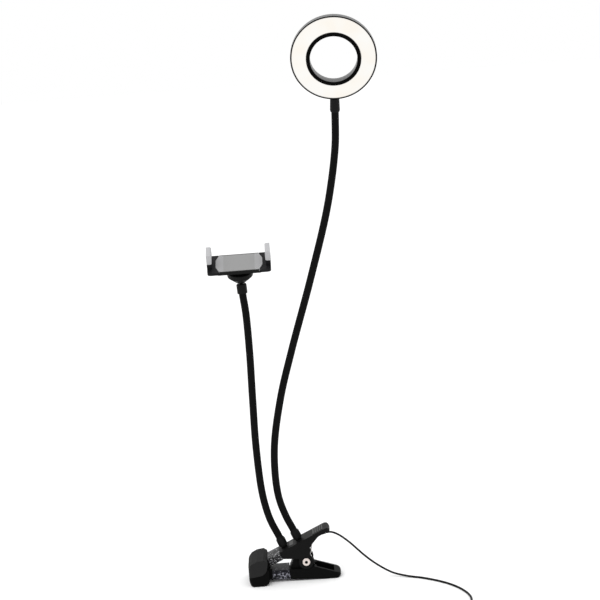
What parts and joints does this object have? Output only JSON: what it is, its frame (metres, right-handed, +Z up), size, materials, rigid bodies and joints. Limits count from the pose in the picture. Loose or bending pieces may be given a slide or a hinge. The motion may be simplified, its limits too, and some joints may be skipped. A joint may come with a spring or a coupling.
{
  "type": "clip-on ring light with phone holder",
  "caption": "Ring light and sprung phone holder on two goosenecks that rise from one spring clamp, with a USB cord and an in-line remote.",
  "frame": {"origin": "bottom centre of the bounding box of everything but the cord, on the surface the clamp stands on", "axes": "+Z up, -Y towards the front that the ring shines to, +X from the clamp's jaws to its handles"},
  "size_m": [0.2512, 0.1905, 0.6097],
  "materials": {
    "black_plastic": "fine satin texture",
    "gloss_black": "smooth gloss",
    "charcoal_rubber": "soft matte",
    "black_rubber": "matte",
    "speckled_grip": "grey with light and dark speckles",
    "sleeve_rubber": "matte sleeve",
    "steel": "plain",
    "milky_diffuser": "milky, lit from behind",
    "white_plastic": "white, reflecting",
    "circuit_board": "white solder mask",
    "grey_pad": "soft touch",
    "pale_rubber": "matte"
  },
  "bodies": {
    "stand": {"clamp_lower_arm": "black_plastic", "clamp_rivet": "steel", "clamp_spring": "steel", "lower_jaw_nose": "black_rubber", "lower_grip_band": "speckled_grip", "remote_base": "black_plastic", "remote_board": "circuit_board", "remote_cover": "black_plastic", "cord_to_coil": "black_rubber", "cord_coil": "black_rubber", "cord_to_plug": "black_rubber", "plug_body": "black_plastic", "plug_shell": "steel"},
    "upper_jaw": {"clamp_upper_arm": "black_plastic", "upper_jaw_nose": "charcoal_rubber", "upper_grip_band": "speckled_grip", "cord_strain_relief": "black_rubber", "cord_lead": "black_rubber", "light_base_ferrule": "black_plastic", "phone_base_ferrule": "black_plastic"},
    "light_link_1": {"light_sleeve_1": "sleeve_rubber", "light_core_1": "steel"},
    "light_link_2": {"light_sleeve_2": "sleeve_rubber", "light_core_2": "steel"},
    "light_link_3": {"light_sleeve_3": "sleeve_rubber", "light_core_3": "steel"},
    "ring_head": {"light_sleeve_4": "sleeve_rubber", "light_core_4": "steel", "light_neck_ferrule": "black_plastic", "ring_rear_shell": "gloss_black", "ring_inner_bezel": "gloss_black", "ring_diffuser": "milky_diffuser", "ring_reflector": "white_plastic", "ring_led_board": "circuit_board", "ring_screw_1": "steel", "ring_screw_2": "steel", "ring_screw_3": "steel"},
    "phone_link_1": {"phone_sleeve_1": "sleeve_rubber", "phone_core_1": "steel"},
    "phone_link_2": {"phone_sleeve_2": "sleeve_rubber", "phone_core_2": "steel"},
    "phone_link_3": {"phone_sleeve_3": "sleeve_rubber", "phone_core_3": "steel", "phone_neck_ferrule": "black_plastic"},
    "ball": {"ball_stud": "steel"},
    "holder": {"holder_back": "black_plastic", "holder_front_pad": "grey_pad", "holder_spring": "steel"},
    "lock_nut": {"ball_lock_nut": "black_plastic"},
    "right_jaw": {"holder_right_jaw": "black_plastic", "holder_right_pad": "pale_rubber"},
    "left_jaw": {"holder_left_jaw": "black_plastic", "holder_left_pad": "pale_rubber"},
    "power": {"power_button": "grey_pad"},
    "brighter": {"brighter_button": "grey_pad"},
    "dimmer": {"dimmer_button": "grey_pad"}
  },
  "joints": [
    {"name": "clamp_hinge", "type": "hinge", "parent": "stand", "child": "upper_jaw", "pos_m": [-0.01633, 0.00761, 0.021], "axis": [0, 1, 0], "range_deg": [0, 28], "stiffness_Nm_per_rad": 1.2, "springref_deg": -51.57, "deforming": ["clamp_spring"]},
    {"name": "light_bend_1", "type": "hinge", "parent": "upper_jaw", "child": "light_link_1", "pos_m": [-0.02843, 0.00761, 0.05627], "axis": [0, 1, 0], "range_deg": [-6, 22]},
    {"name": "light_bend_2", "type": "hinge", "parent": "light_link_1", "child": "light_link_2", "pos_m": [-0.03796, 0.00761, 0.17241], "axis": [0.9809, 0, -0.1943], "range_deg": [-25, 25]},
    {"name": "light_bend_3", "type": "hinge", "parent": "light_link_2", "child": "light_link_3", "pos_m": [-0.00434, 0.00756, 0.28626], "axis": [0, 1, 0], "range_deg": [-25, 25]},
    {"name": "light_bend_4", "type": "hinge", "parent": "light_link_3", "child": "ring_head", "pos_m": [0.03257, 0.00834, 0.39919], "axis": [0.9628, 0, -0.27], "range_deg": [-25, 25]},
    {"name": "phone_bend_1", "type": "hinge", "parent": "upper_jaw", "child": "phone_link_1", "pos_m": [-0.04441, 0.00761, 0.04924], "axis": [0, 1, 0], "range_deg": [-22, 6]},
    {"name": "phone_bend_2", "type": "hinge", "parent": "phone_link_1", "child": "phone_link_2", "pos_m": [-0.06117, 0.00761, 0.13933], "axis": [0.9996, 0, 0.0274], "range_deg": [-25, 25]},
    {"name": "phone_bend_3", "type": "hinge", "parent": "phone_link_2", "child": "phone_link_3", "pos_m": [-0.0604, 0.00761, 0.23181], "axis": [0, 1, 0], "range_deg": [-25, 18]},
    {"name": "holder_swivel", "type": "hinge", "parent": "phone_link_3", "child": "ball", "pos_m": [-0.06333, 0.00761, 0.3405], "axis": [-0.0499, 0, 0.9988], "range_deg": [-90, 90]},
    {"name": "holder_tilt", "type": "hinge", "parent": "ball", "child": "holder", "pos_m": [-0.06333, 0.00761, 0.3405], "axis": [1, 0, 0], "range_deg": [-48, 3]},
    {"name": "lock_nut_turn", "type": "hinge", "parent": "holder", "child": "lock_nut", "pos_m": [-0.06333, 0.00761, 0.3405], "axis": [0, 0.3939, -0.9191], "range_deg": [-90, 30]},
    {"name": "right_jaw_slide", "type": "slide", "parent": "holder", "child": "right_jaw", "axis": [1, 0, 0], "range_m": [0, 0.012], "stiffness_N_per_m": 400, "springref_m": -0.012, "deforming": ["holder_spring"]},
    {"name": "left_jaw_slide", "type": "slide", "parent": "holder", "child": "left_jaw", "axis": [-1, 0, 0], "range_m": [0, 0.012]},
    {"name": "power_press", "type": "slide", "parent": "stand", "child": "power", "axis": [0, 0, -1], "range_m": [0, 0.0008], "stiffness_N_per_m": 900},
    {"name": "brighter_press", "type": "slide", "parent": "stand", "child": "brighter", "axis": [0, 0, -1], "range_m": [0, 0.0008], "stiffness_N_per_m": 900},
    {"name": "dimmer_press", "type": "slide", "parent": "stand", "child": "dimmer", "axis": [0, 0, -1], "range_m": [0, 0.0008], "stiffness_N_per_m": 900}
  ],
  "couplings": [
    {"joint": "left_jaw_slide", "follows": "right_jaw_slide", "ratio": 1}
  ]
}
